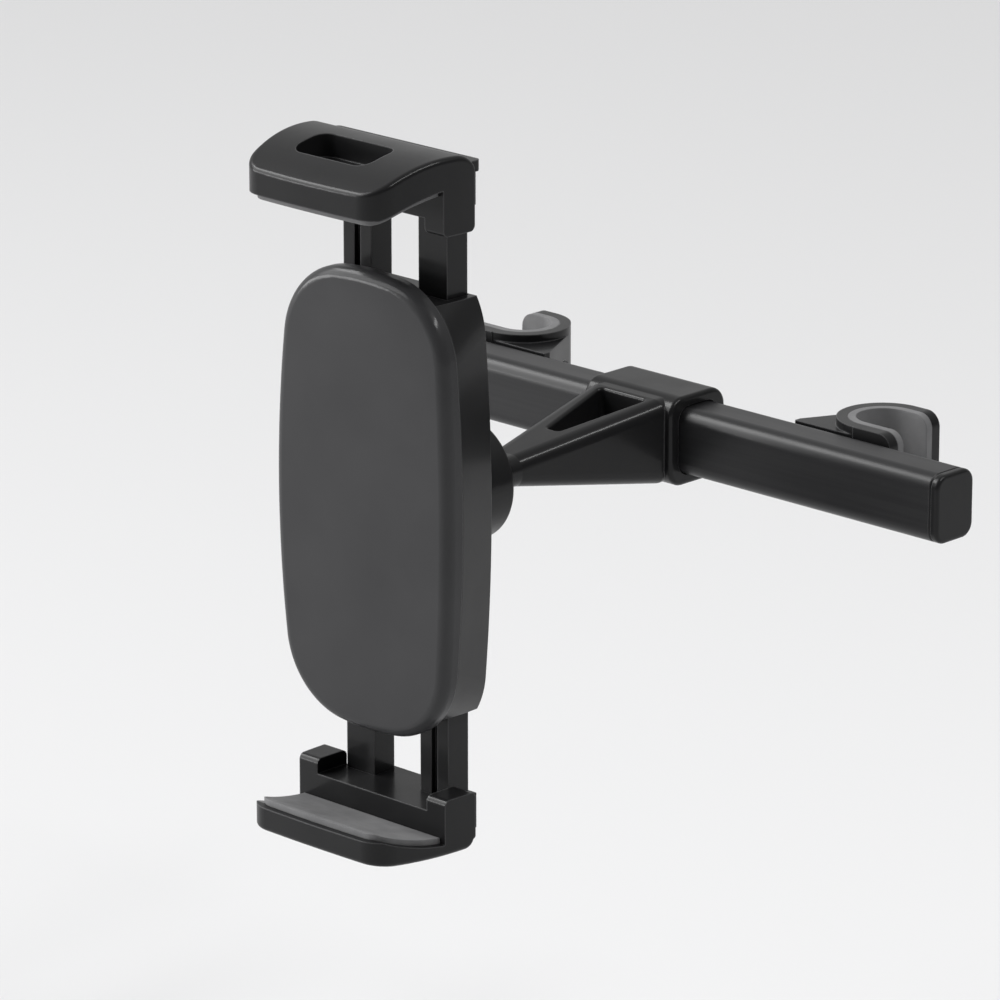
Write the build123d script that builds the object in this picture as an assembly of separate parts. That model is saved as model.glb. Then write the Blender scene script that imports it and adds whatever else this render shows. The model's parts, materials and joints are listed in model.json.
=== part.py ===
from build123d import *
import math
import os

# Headrest tablet mount: a crossbar that hooks onto two headrest posts, an arm that slides on the bar
# and ends in a ball joint, and a spring-loaded cradle whose two jaws hold a tablet.
# Lengths are in millimetres. +X runs along the bar to the right, +Y towards the posts, +Z up.
# The pieces are drawn with X = 0 at the bar's middle, and moved at the end so that the origin lies
# on the right-hand post's axis, at the bar's height.

# Headrest posts
POST_DIAMETER = 15.0
POST_SPACING = 130.0
POST_TO_BAR = 13.4

# Clearances
SLIDE_GAP = 0.3
HOOK_GAP = 0.5
SPIGOT_GAP = 0.4
SEAT_GAP = 0.1
SCREW_PLAY = 0.1

# Crossbar tube
BAR_OVERHANG = 39.2
BAR_DEPTH = 14.6
BAR_HEIGHT = 18.4
BAR_CORNER = 3.8
BAR_WALL = 1.8
BAR_END_CHAMFER = 0.4

# End caps
CAP_FLANGE = 2.5
CAP_PLUG = 9.0
CAP_EDGE = 1.0
CAP_SEAM = 0.4

# Post hooks
HOOK_HEIGHT = 22.0
HOOK_WALL = 3.1
LINER_WALL = 2.1
FRONT_ARM_REACH = 12.9
REAR_ARM_REACH = 8.1
HOOK_ARM_CORNER = 4.0
TAIL_REACH = 19.8
TAIL_THICK = 2.0
TAIL_DROP = 2.3
NECK_INSET = 12.0
NECK_WIDTH = 10.0
NECK_HEIGHT = 6.0
SHOE_LENGTH = 18.0
HOOK_TRAVEL_IN = 12.0
HOOK_TRAVEL_OUT = 10.0
HOOK_SCREW_INSET = 14.2
HOOK_SCREW_FLOOR = 3.2

# Screws
SCREW_RADIUS = 1.5
SCREW_HEAD_RADIUS = 2.5
SCREW_HEAD_HEIGHT = 1.8
SCREW_GRIP = 6.0

# Hook springs and the stop between them
STOP_LENGTH = 12.0
HOOK_SPRING_RADIUS = 5.0
SPRING_WALL = 1.0

# Slider sleeve and arm
ARM_X = 2.3
SLEEVE_WIDTH = 31.5
SLEEVE_WALL = 3.2
SLEEVE_TOP_WALL = 2.7
SLEEVE_CORNER = 5.2
SLEEVE_EDGE = 1.2
ARM_REACH = 70.6
ARM_ROOT_DROP = 0.6
ARM_ROOT_WIDTH = 27.2
ARM_TAPER_LENGTH = 46.0
ARM_NECK_WIDTH = 12.0
ARM_NECK_HEIGHT = 8.6
ARM_NECK_RISE = 0.5
ARM_LEG_WIDTH = 5.2
ARM_EDGE = 3.8
WINDOW_MARGIN = 1.2
WINDOW_LENGTH = 27.0
WINDOW_TIP = 2.1
WINDOW_CORNER = 1.2
WINDOW_RIM = 0.9

# Ball joint
BALL_RISE = 1.5
BALL_RADIUS = 8.0
BALL_NECK_RADIUS = 4.2
BALL_NECK_OVERLAP = 4.0
SEAT_WALL = 1.5
REAR_SEAT_ANGLES = (48.0, 75.0)
FRONT_SEAT_ANGLE = 100.0
SOCKET_WALL = 1.9
BALL_TO_BACK = 10.3
NUT_RADIUS = 16.3
NUT_LIP = 2.2
NUT_OPENING = 7.8
NUT_STANDOFF = 1.2
NUT_EDGE = 1.0
NUT_COLLAR = 1.0
NUT_COLLAR_WALL = 2.6

# Cradle shells
SHELL_DEPTH = 15.5
SHELL_WALL = 2.2
SHELL_FLOOR = 1.5
CRADLE_RISE = 2.7
SHELL_REAR_WIDTH = 51.6
SHELL_REAR_HEIGHT = 132.0
SHELL_REAR_CORNER = 22.0
SHELL_LENGTH = 110.0
SHELL_END_CHAMFER = 1.0
COVER_WIDTH = 62.2
COVER_HEIGHT = 122.4
COVER_SIDE_BOW = 3.8
COVER_END_BOW = 4.6
COVER_CORNER = 22.0
COVER_OVERHANG = 1.0
COVER_THICK = 6.0
COVER_CROWN = 1.4
COVER_EDGE = 3.0
COVER_WALL = 2.0
GROOVE = 1.1
SPIGOT_WALL = 1.6
SPIGOT_LENGTH = 4.0

# Screws between the shells
BOSS_RADIUS = 2.2
BOSS_HEIGHT = 30.0
SHELL_SCREW_RADIUS = 1.1
SHELL_SCREW_HEAD = 1.8
SHELL_SCREW_GRIP = 6.0

# Rails
RAIL_WIDTH = 10.0
RAIL_DEPTH = 7.3
RAIL_OFFSET = 13.4
RAIL_INNER_END = 15.7
RAIL_GROOVE_WIDTH = 2.1
RAIL_GROOVE_DEPTH = 1.6
RIB_WALL = 1.4
JAW_TRAVEL_IN = 15.0
JAW_TRAVEL_OUT = 30.0

# Centring gear
GEAR_MODULE = 0.75
GEAR_TEETH = 12
GEAR_WIDTH = 4.0
TOOTH_SHARE = 0.40
PRESSURE_ANGLE = 20.0
TOOTH_ROOT_CLEARANCE = 0.25
GEAR_PIN_RADIUS = 1.5
RACK_END_GAP = 0.6

# Jaw springs and their pegs
PEG_RADIUS = 1.1
PEG_INSET = 3.0
PEG_FROM_END = 6.0
JAW_SPRING_RADIUS = 2.4
SPRING_EYE_WALL = 0.8
SPRING_EYE_WIDTH = 1.2

# Jaws
JAW_OPENING = 163.0
JAW_WIDTH = 53.8
JAW_FRONT_WIDTH = 47.0
JAW_FRONT_CORNER = 7.5
JAW_FRONT_BOW = 0.6
JAW_SIDE_SWELL = 0.25
JAW_DEPTH = 32.8
JAW_LIP_HEIGHT = 6.3
JAW_LIP_DEPTH = 3.0
JAW_GRIP_SLOPE = 0.1
JAW_LIP_SLOPE = 0.4
JAW_ROOF_RISE = 4.8
JAW_RIM = 1.4
FACING_OUT = 0.3
UPPER_TOP_RISE = 12.8
UPPER_MIDDLE_RISE = 12.0
UPPER_TOP_ROUND = 5.0
LOWER_TOP_RISE = 8.0
LOWER_MIDDLE_RISE = 7.6
LOWER_TOP_ROUND = 3.0
LOWER_SHOULDER_DROP = 2.0
JAW_BACK_WALL = 10.8
JAW_EAR_DROP = 7.2
JAW_EAR_WIDTH = 7.0
JAW_EAR_ROUND = 1.6
JAW_FLANGE_DEPTH = 3.9
JAW_FLANGE_THICK = 2.9
JAW_FLANGE_INSET = 1.6
JAW_FLANGE_DROP = 2.6
JAW_FLANGE_ROUND = 1.4
JAW_WALL_SETBACK = 6.0
SOCKET_SIDE = 1.5
SOCKET_DEPTH = 8.0
POCKET_WIDTH = 26.5
POCKET_LENGTH = 12.5
POCKET_DEPTH = 5.2
POCKET_CORNER = 4.0
POCKET_SHIFT = -1.5
POCKET_SETBACK = 17.5
PAD_THICK = 1.6
PAD_INSET = 1.8

# Places that follow from the sizes above
BAR_LENGTH = POST_SPACING + 2 * BAR_OVERHANG
BAR_MID_Y = -(POST_TO_BAR + BAR_DEPTH / 2)
BAR_FRONT_Y = -(POST_TO_BAR + BAR_DEPTH)
HOOK_FRONT_Y = -(POST_TO_BAR - HOOK_GAP)
LINER_OUTER = POST_DIAMETER / 2 + LINER_WALL
HOOK_OUTER = LINER_OUTER + HOOK_WALL
BORE_DEPTH = BAR_DEPTH - 2 * BAR_WALL
BORE_HEIGHT = BAR_HEIGHT - 2 * BAR_WALL
BORE_CORNER = BAR_CORNER - BAR_WALL
SLEEVE_DEPTH = BAR_DEPTH + 2 * (SLIDE_GAP + SLEEVE_WALL)
SLEEVE_HEIGHT = BAR_HEIGHT + 2 * (SLIDE_GAP + SLEEVE_TOP_WALL)
SLEEVE_FRONT_Y = BAR_FRONT_Y - SLIDE_GAP - SLEEVE_WALL
BALL_Y = BAR_FRONT_Y - ARM_REACH
SEAT_INNER = BALL_RADIUS + SLIDE_GAP
SEAT_OUTER = SEAT_INNER + SEAT_WALL
CAVITY_RADIUS = SEAT_OUTER + SLIDE_GAP
SOCKET_RADIUS = CAVITY_RADIUS + SOCKET_WALL
LIP_START = math.sqrt(CAVITY_RADIUS**2 - NUT_OPENING**2)
BACK_Y = BALL_Y - BALL_TO_BACK
SHELL_RIM_Y = BACK_Y - SHELL_DEPTH
COVER_RIM_Y = SHELL_RIM_Y - GROOVE
COVER_FRONT_Y = COVER_RIM_Y - COVER_THICK
COVER_FLOOR_Y = COVER_FRONT_Y + COVER_CROWN + COVER_WALL
SHELL_FLOOR_Y = BACK_Y - SHELL_FLOOR
RAIL_REAR_Y = SHELL_FLOOR_Y - SLIDE_GAP
RAIL_FRONT_Y = RAIL_REAR_Y - RAIL_DEPTH
RAIL_MID_Y = (RAIL_REAR_Y + RAIL_FRONT_Y) / 2
BOSS_FACE_Y = RAIL_FRONT_Y - SLIDE_GAP - SHELL_WALL
BOSS_X = RAIL_OFFSET + RAIL_WIDTH / 2 + SLIDE_GAP + BOSS_RADIUS
PITCH_RADIUS = GEAR_MODULE * GEAR_TEETH / 2
TOOTH_PITCH = math.pi * GEAR_MODULE
ADDENDUM = GEAR_MODULE
DEDENDUM = GEAR_MODULE + TOOTH_ROOT_CLEARANCE
RAIL_INNER_X = RAIL_OFFSET - RAIL_WIDTH / 2
HOLLOW_HALF = SHELL_LENGTH / 2 - SHELL_WALL
RACK_TOP = HOLLOW_HALF - RACK_END_GAP - JAW_TRAVEL_OUT
SPRING_REAR_Y = RAIL_FRONT_Y - SLIDE_GAP
SPRING_Y = SPRING_REAR_Y - JAW_SPRING_RADIUS
SPRING_FRONT_Y = SPRING_Y - JAW_SPRING_RADIUS
PEG_Z = RAIL_INNER_END + PEG_INSET
ANCHOR_Z = HOLLOW_HALF - PEG_FROM_END
JAW_LIP_Z = JAW_OPENING / 2
JAW_ROOF_Z = JAW_LIP_Z + JAW_ROOF_RISE
JAW_REACH_Z = JAW_LIP_Z + UPPER_TOP_RISE
JAW_FLANGE_Z = JAW_REACH_Z - JAW_FLANGE_DROP
JAW_EAR_Z = JAW_LIP_Z - JAW_EAR_DROP
JAW_BACK_Y = RAIL_REAR_Y - JAW_WALL_SETBACK
JAW_WALL_Y = JAW_BACK_Y - JAW_BACK_WALL
JAW_FRONT_Y = JAW_BACK_Y - JAW_DEPTH
SOCKET_TOP_Z = JAW_ROOF_Z
SOCKET_BOTTOM_Z = SOCKET_TOP_Z - SOCKET_DEPTH
ON_BALL = Pos(ARM_X, BALL_Y, BALL_RISE)
ON_CRADLE = Pos(ARM_X, 0, CRADLE_RISE)
TURNED_OVER = Rot(0, 180, 0)
TO_RIGHT_POST = Pos(-POST_SPACING / 2, 0, 0)


def block(x_range, y_range, z_range):
    """Box between two limits on each axis."""
    sizes = [high - low for low, high in (x_range, y_range, z_range)]
    middle = [(low + high) / 2 for low, high in (x_range, y_range, z_range)]
    return Pos(*middle) * Box(*sizes)


def rod(radius, y_start, y_end):
    """Round bar along Y."""
    return Pos(0, (y_start + y_end) / 2, 0) * Rot(90, 0, 0) * Cylinder(radius, abs(y_end - y_start))


def upright(y):
    """Plane across Y that faces forwards."""
    return Plane.XZ.offset(-y)


def bar_section(depth, height, corner):
    """Rounded rectangle across the bar."""
    return Plane.YZ * RectangleRounded(depth, height, corner)


def bar_length_of(section, length):
    """Section extruded along the bar about its middle, in line with the tube."""
    return Pos(0, BAR_MID_Y, 0) * extrude(section, length / 2, both=True)


# Crossbar


def bar_tube():
    outer = bar_length_of(bar_section(BAR_DEPTH, BAR_HEIGHT, BAR_CORNER), BAR_LENGTH)
    ends = outer.faces().sort_by(Axis.X)
    outer = chamfer(ends[0].edges() + ends[-1].edges(), BAR_END_CHAMFER)
    tube = outer - bar_length_of(bar_section(BORE_DEPTH, BORE_HEIGHT, BORE_CORNER), BAR_LENGTH)
    slot_length = NECK_WIDTH + HOOK_TRAVEL_IN + HOOK_TRAVEL_OUT + 2 * SLIDE_GAP
    slot_middle = POST_SPACING / 2 - NECK_INSET + (HOOK_TRAVEL_OUT - HOOK_TRAVEL_IN) / 2
    slot = Box(slot_length, 2 * BAR_WALL, NECK_HEIGHT + 2 * SLIDE_GAP)
    for side in (1, -1):
        tube -= Pos(side * slot_middle, -POST_TO_BAR - BAR_WALL / 2, 0) * slot
    return tube - stop_screw_form(SCREW_PLAY)


def end_cap_right():
    section = bar_section(BAR_DEPTH, BAR_HEIGHT, BAR_CORNER)
    flange = extrude(section, CAP_FLANGE)
    faces = flange.faces().sort_by(Axis.X)
    flange = chamfer(faces[0].edges(), CAP_SEAM)
    flange = fillet(flange.faces().sort_by(Axis.X)[-1].edges(), CAP_EDGE)
    plug_section = bar_section(
        BORE_DEPTH - 2 * SEAT_GAP, BORE_HEIGHT - 2 * SEAT_GAP, BORE_CORNER - SEAT_GAP
    )
    plug = extrude(plug_section, -CAP_PLUG)
    return Pos(BAR_LENGTH / 2, BAR_MID_Y, 0) * (flange + plug)


def stop_screw_form(play):
    """Countersunk screw, flush with the back of the tube, or its hole."""
    head_radius = SCREW_HEAD_RADIUS + play
    shank_radius = SCREW_RADIUS + play
    head = Rot(-90, 0, 0) * Cone(shank_radius, head_radius, BAR_WALL)
    shank = rod(shank_radius, -POST_TO_BAR - BAR_WALL, -POST_TO_BAR - BAR_WALL - SCREW_GRIP)
    return Pos(0, -POST_TO_BAR - BAR_WALL / 2, 0) * head + shank


def spring_stop():
    section = bar_section(
        BORE_DEPTH - 2 * SEAT_GAP, BORE_HEIGHT - 2 * SEAT_GAP, BORE_CORNER - SEAT_GAP
    )
    return bar_length_of(section, STOP_LENGTH) - stop_screw_form(SCREW_PLAY)


# Right-hand post hook, drawn about its post's axis; the left one is its mirror image


def post_mouth(half_width, reach):
    """Space of a U that opens outwards."""
    depth = HOOK_HEIGHT
    mouth = Cylinder(half_width, depth)
    return mouth + block((0, reach), (-half_width, half_width), (-depth / 2, depth / 2))


def hook_arm(reach, y_range):
    """Straight arm of the U, with rounded outer corners."""
    outline = Pos(reach / 2, 0) * Rectangle(reach, HOOK_HEIGHT)
    outline = fillet(outline.vertices().group_by(Axis.X)[-1], HOOK_ARM_CORNER)
    low, high = y_range
    return extrude(Plane.XZ.offset(-high) * outline, high - low)


def hook_screw_form(play):
    floor_y = HOOK_FRONT_Y + HOOK_SCREW_FLOOR
    shank_end = -POST_TO_BAR - BAR_WALL - SLIDE_GAP - SCREW_GRIP
    shank = rod(SCREW_RADIUS + play, floor_y, shank_end)
    head_end = HOOK_OUTER if play else floor_y + SCREW_HEAD_HEIGHT
    head = rod(SCREW_HEAD_RADIUS + play, floor_y, head_end)
    return Pos(-HOOK_SCREW_INSET, 0, 0) * (shank + head)


def post_hook():
    half = HOOK_HEIGHT / 2
    inner_side = block((-2 * TAIL_REACH, 0), (HOOK_FRONT_Y, 2 * HOOK_OUTER), (-half, half))
    ring = Cylinder(HOOK_OUTER, HOOK_HEIGHT) & inner_side
    tail_end = Pos(-TAIL_REACH + TAIL_THICK / 2, HOOK_FRONT_Y + TAIL_THICK / 2)
    tail_outline = make_hull(
        Circle(HOOK_OUTER).edges() + (tail_end * Rectangle(TAIL_THICK, TAIL_THICK)).edges()
    )
    tail = extrude(tail_outline, half - TAIL_DROP, both=True) & inner_side
    front_arm = hook_arm(FRONT_ARM_REACH, (HOOK_FRONT_Y, -LINER_OUTER))
    rear_arm = hook_arm(REAR_ARM_REACH, (LINER_OUTER, HOOK_OUTER))
    neck_x = (-NECK_INSET - NECK_WIDTH / 2, -NECK_INSET + NECK_WIDTH / 2)
    neck_y = (-POST_TO_BAR - BAR_WALL - SLIDE_GAP, HOOK_FRONT_Y + TAIL_THICK / 2)
    neck = block(neck_x, neck_y, (-NECK_HEIGHT / 2, NECK_HEIGHT / 2))
    body = ring + tail + front_arm + rear_arm - post_mouth(LINER_OUTER, 2 * FRONT_ARM_REACH)
    return body + neck - hook_screw_form(SCREW_PLAY)


def hook_liner():
    half = HOOK_HEIGHT / 2
    inner_side = block((-HOOK_OUTER, 0), (-HOOK_OUTER, HOOK_OUTER), (-half, half))
    ring = Cylinder(LINER_OUTER, HOOK_HEIGHT) & inner_side
    post_radius = POST_DIAMETER / 2
    front_arm = hook_arm(FRONT_ARM_REACH, (-LINER_OUTER, -post_radius))
    rear_arm = hook_arm(REAR_ARM_REACH, (post_radius, LINER_OUTER))
    return ring + front_arm + rear_arm - post_mouth(post_radius, 2 * FRONT_ARM_REACH)


def hook_shoe():
    section = bar_section(
        BORE_DEPTH - 2 * SLIDE_GAP, BORE_HEIGHT - 2 * SLIDE_GAP, BORE_CORNER - SLIDE_GAP
    )
    shoe = Pos(-NECK_INSET, 0, 0) * bar_length_of(section, SHOE_LENGTH)
    return shoe - hook_screw_form(SCREW_PLAY)


def hook_spring():
    """Close-wound compression spring drawn as a sleeve, from the stop to the shoe."""
    start = STOP_LENGTH / 2 - POST_SPACING / 2
    end = -NECK_INSET - SHOE_LENGTH / 2
    ring = Circle(HOOK_SPRING_RADIUS) - Circle(HOOK_SPRING_RADIUS - SPRING_WALL)
    return Pos(start, BAR_MID_Y, 0) * extrude(Plane.YZ * ring, end - start)


# Slider sleeve with its arm and ball


def arm_half_width(y):
    """Half width of the tapered arm at a place along it."""
    root = ARM_ROOT_WIDTH / 2
    neck = ARM_NECK_WIDTH / 2
    share = (SLEEVE_FRONT_Y - y) / ARM_TAPER_LENGTH
    return root + (neck - root) * share


def arm_body(root_y, neck_y, tip_y):
    """Tapered arm with rounded edges, from inside the sleeve's wall to the ball's neck."""
    root_height = SLEEVE_HEIGHT - 2 * ARM_ROOT_DROP
    root = RectangleRounded(ARM_ROOT_WIDTH, root_height, ARM_EDGE)
    neck = Pos(0, ARM_NECK_RISE) * RectangleRounded(ARM_NECK_WIDTH, ARM_NECK_HEIGHT, ARM_EDGE)
    body = extrude(upright(root_y) * root, root_y - SLEEVE_FRONT_Y)
    body += loft([upright(SLEEVE_FRONT_Y) * root, upright(neck_y) * neck])
    return body + extrude(upright(neck_y) * neck, neck_y - tip_y)


def slider_arm():
    sleeve = bar_length_of(bar_section(SLEEVE_DEPTH, SLEEVE_HEIGHT, SLEEVE_CORNER), SLEEVE_WIDTH)
    ends = sleeve.faces().sort_by(Axis.X)
    sleeve = fillet(ends[0].edges() + ends[-1].edges(), SLEEVE_EDGE)
    neck_y = SLEEVE_FRONT_Y - ARM_TAPER_LENGTH
    tip_y = BALL_Y + BALL_RADIUS + BALL_NECK_OVERLAP
    arm = sleeve + windowed(arm_body(SLEEVE_FRONT_Y + SLEEVE_WALL, neck_y, tip_y))
    arm -= bar_length_of(
        bar_section(BAR_DEPTH + 2 * SLIDE_GAP, BAR_HEIGHT + 2 * SLIDE_GAP, BAR_CORNER + SLIDE_GAP),
        2 * SLEEVE_WIDTH,
    )
    neck = Pos(0, 0, BALL_RISE) * rod(BALL_NECK_RADIUS, BALL_Y, tip_y + BALL_NECK_OVERLAP)
    ball = Pos(0, BALL_Y, BALL_RISE) * Sphere(BALL_RADIUS)
    return Pos(ARM_X, 0, 0) * (arm + neck + ball)


def windowed(body):
    """Arm with the opening between its legs cut and the rims of the opening rounded."""
    window = arm_window()
    cut = body - window
    rims = new_edges(body, window, combined=cut).filter_by(Axis.Z, reverse=True)
    return fillet(rims, WINDOW_RIM)


def arm_window():
    """Opening between the legs of the arm."""
    base_y = SLEEVE_FRONT_Y - WINDOW_MARGIN
    base_half = arm_half_width(base_y) - ARM_LEG_WIDTH
    tip_y = base_y - WINDOW_LENGTH
    base = ((-base_half, base_y), (base_half, base_y))
    tip = ((WINDOW_TIP, tip_y), (-WINDOW_TIP, tip_y))
    outline = make_face(Polyline(*base, *tip, close=True))
    outline = fillet(outline.vertices(), WINDOW_CORNER)
    return extrude(outline, SLEEVE_HEIGHT, both=True)


# Ball joint, drawn about the ball's centre


def seat_band(start, end):
    """Section of a thin spherical shell between two angles from the rear pole."""
    outer_arc = CenterArc((0, 0), SEAT_OUTER, 90 - end, end - start)
    inner_arc = CenterArc((0, 0), SEAT_INNER, 90 - end, end - start)
    sides = [Line(outer_arc @ 0, inner_arc @ 0), Line(outer_arc @ 1, inner_arc @ 1)]
    return make_face([outer_arc, inner_arc] + sides)


def ball_seat_rear():
    return ON_BALL * revolve(seat_band(*REAR_SEAT_ANGLES), Axis.Y)


def ball_seat_front():
    return ON_BALL * revolve(seat_band(FRONT_SEAT_ANGLE, 180), Axis.Y)


def lock_nut():
    front = NUT_STANDOFF - BALL_TO_BACK
    rear = LIP_START + NUT_LIP
    shoulder = rear - NUT_COLLAR
    nut = rod(NUT_RADIUS, front, shoulder)
    nut = fillet(nut.edges(), NUT_EDGE)
    nut += rod(NUT_OPENING + NUT_COLLAR_WALL, shoulder, rear)
    nut -= rod(SOCKET_RADIUS + SLIDE_GAP, front, 0)
    nut -= Sphere(CAVITY_RADIUS)
    nut -= rod(NUT_OPENING, 0, rear)
    return ON_BALL * nut


def ball_socket():
    """Cup on the back shell that holds the front seat."""
    socket = rod(SOCKET_RADIUS, -BALL_TO_BACK - SHELL_FLOOR, -SLIDE_GAP)
    return Pos(0, BALL_Y, BALL_RISE - CRADLE_RISE) * (socket - Sphere(CAVITY_RADIUS))


# Cradle shells, drawn about the cradle's axis


def bowed_outline(width, height, corner):
    """Outline with four bowed sides and rounded corners."""
    corner_x = width / 2 - COVER_SIDE_BOW
    corner_z = height / 2 - COVER_END_BOW
    right = ThreePointArc((corner_x, -corner_z), (width / 2, 0), (corner_x, corner_z))
    top = ThreePointArc((corner_x, corner_z), (0, height / 2), (-corner_x, corner_z))
    left = ThreePointArc((-corner_x, corner_z), (-width / 2, 0), (-corner_x, -corner_z))
    bottom = ThreePointArc((-corner_x, -corner_z), (0, -height / 2), (corner_x, -corner_z))
    outline = make_face([right, top, left, bottom])
    return fillet(outline.vertices(), corner)


def cover_outline(inset):
    """Outline of the front cover, or one that lies inside it."""
    return bowed_outline(COVER_WIDTH - 2 * inset, COVER_HEIGHT - 2 * inset, COVER_CORNER - inset)


def rear_outline(inset):
    """Outline of the back shell's rear face, or one that lies inside it."""
    width = SHELL_REAR_WIDTH - 2 * inset
    return bowed_outline(width, SHELL_REAR_HEIGHT - 2 * inset, SHELL_REAR_CORNER - inset)


def tub(inset, floor_y, length):
    """Tapering body of the back shell, or its hollow when inset by the wall."""
    front = upright(SHELL_RIM_Y) * cover_outline(COVER_OVERHANG + inset)
    body = loft([upright(floor_y) * rear_outline(inset), front])
    return body & block((-COVER_WIDTH, COVER_WIDTH), (SHELL_RIM_Y, floor_y), (-length / 2, length / 2))


def boss_places():
    """The four places of the shells' screws."""
    places = []
    for x in (-BOSS_X, BOSS_X):
        for z in (-BOSS_HEIGHT, BOSS_HEIGHT):
            places.append(Pos(x, 0, z))
    return places


def shell_screw_form(play):
    floor_y = BACK_Y - SHELL_WALL
    shank = rod(SHELL_SCREW_RADIUS + play, floor_y, BOSS_FACE_Y - SHELL_SCREW_GRIP - play)
    head = rod(SHELL_SCREW_HEAD + play, floor_y, BACK_Y)
    return shank + head


def back_shell():
    shell = tub(0, BACK_Y, SHELL_LENGTH)
    rear_rim = shell.faces().sort_by(Axis.Y)[-1].edges()
    shell = chamfer(rear_rim, SHELL_END_CHAMFER)
    hollow = tub(SHELL_WALL, SHELL_FLOOR_Y, 2 * HOLLOW_HALF)
    rib_x = RAIL_OFFSET + RAIL_WIDTH / 2 + SLIDE_GAP
    rib_y = (RAIL_FRONT_Y, SHELL_FLOOR_Y)
    rib = block((rib_x, rib_x + RIB_WALL), rib_y, (-HOLLOW_HALF, HOLLOW_HALF))
    rail_window = Box(RAIL_WIDTH + 2 * SLIDE_GAP, RAIL_DEPTH + 2 * SLIDE_GAP, 2 * SHELL_LENGTH)
    inner = rod(GEAR_PIN_RADIUS, SHELL_FLOOR_Y, RAIL_FRONT_Y) + rib + mirror(rib, Plane.YZ)
    for place in boss_places():
        inner += place * rod(BOSS_RADIUS, SHELL_FLOOR_Y, BOSS_FACE_Y)
    shell = shell - hollow + (inner & tub(0, SHELL_FLOOR_Y, SHELL_LENGTH))
    for side in (-1, 1):
        shell -= Pos(side * RAIL_OFFSET, RAIL_MID_Y, 0) * rail_window
    for place in boss_places():
        shell -= place * shell_screw_form(SCREW_PLAY)
    return ON_CRADLE * (shell + ball_socket())


def front_cover():
    body = extrude(upright(COVER_RIM_Y) * cover_outline(0), COVER_THICK)
    crown_radius = (COVER_HEIGHT / 2) ** 2 / (2 * COVER_CROWN)
    body &= Pos(0, COVER_FRONT_Y + crown_radius, 0) * Sphere(crown_radius)
    body = ON_CRADLE * body
    body = fillet(body.faces().sort_by(Axis.Y)[0].edges(), COVER_EDGE)
    trim = HOLLOW_HALF - SPIGOT_GAP
    inside = block((-COVER_WIDTH, COVER_WIDTH), (COVER_FRONT_Y, 0), (-trim, trim))
    taper = (COVER_WIDTH / 2 - COVER_OVERHANG - SHELL_REAR_WIDTH / 2) / SHELL_DEPTH
    spigot_inset = COVER_OVERHANG + SHELL_WALL + SPIGOT_GAP + taper * SPIGOT_LENGTH
    pocket_inset = spigot_inset + SPIGOT_WALL
    spigot_end = SHELL_RIM_Y + SPIGOT_LENGTH
    spigot = extrude(upright(spigot_end) * cover_outline(spigot_inset), spigot_end - COVER_RIM_Y)
    spigot &= inside
    pocket_half = trim - SPIGOT_WALL
    pocket_inside = block((-COVER_WIDTH, COVER_WIDTH), (COVER_FRONT_Y, 0), (-pocket_half, pocket_half))
    pocket = extrude(upright(spigot_end) * cover_outline(pocket_inset), spigot_end - COVER_FLOOR_Y)
    pocket &= pocket_inside
    cover = body + ON_CRADLE * spigot - ON_CRADLE * pocket
    for place in boss_places():
        cover += ON_CRADLE * place * rod(BOSS_RADIUS, BOSS_FACE_Y, COVER_FLOOR_Y)
    anchor_peg = rod(PEG_RADIUS, SPRING_REAR_Y, COVER_FLOOR_Y)
    for side in (-1, 1):
        cover += ON_CRADLE * Pos(side * RAIL_OFFSET, 0, side * ANCHOR_Z) * anchor_peg
    for place in boss_places():
        cover -= ON_CRADLE * place * shell_screw_form(SCREW_PLAY)
    return cover


def shell_screws():
    return [ON_CRADLE * place * shell_screw_form(0) for place in boss_places()]


# Centring gear and rails, drawn about the cradle's axis


def tooth_outline(root_depth, tip_height):
    """Straight-flanked tooth that points along +X from the pitch line at X = 0."""
    slope = math.tan(math.radians(PRESSURE_ANGLE))
    half_pitch = TOOTH_SHARE * TOOTH_PITCH / 2
    root_half = half_pitch + root_depth * slope
    tip_half = half_pitch - tip_height * slope
    root = ((-root_depth, -root_half), (-root_depth, root_half))
    tip = ((tip_height, tip_half), (tip_height, -tip_half))
    return make_face(Polyline(*root, *tip, close=True))


def gear_layer(outline):
    """Flat shape of the gear's layer, extruded to the gear's width."""
    return extrude(upright(RAIL_MID_Y + GEAR_WIDTH / 2) * outline, GEAR_WIDTH)


def centring_pinion():
    gear = Circle(PITCH_RADIUS - DEDENDUM)
    tooth = Pos(PITCH_RADIUS, 0) * tooth_outline(DEDENDUM + TOOTH_ROOT_CLEARANCE, ADDENDUM)
    for index in range(GEAR_TEETH):
        gear += Rot(0, 0, index * 360 / GEAR_TEETH) * tooth
    gear -= Circle(GEAR_PIN_RADIUS + SLIDE_GAP)
    return ON_CRADLE * gear_layer(gear)


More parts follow.
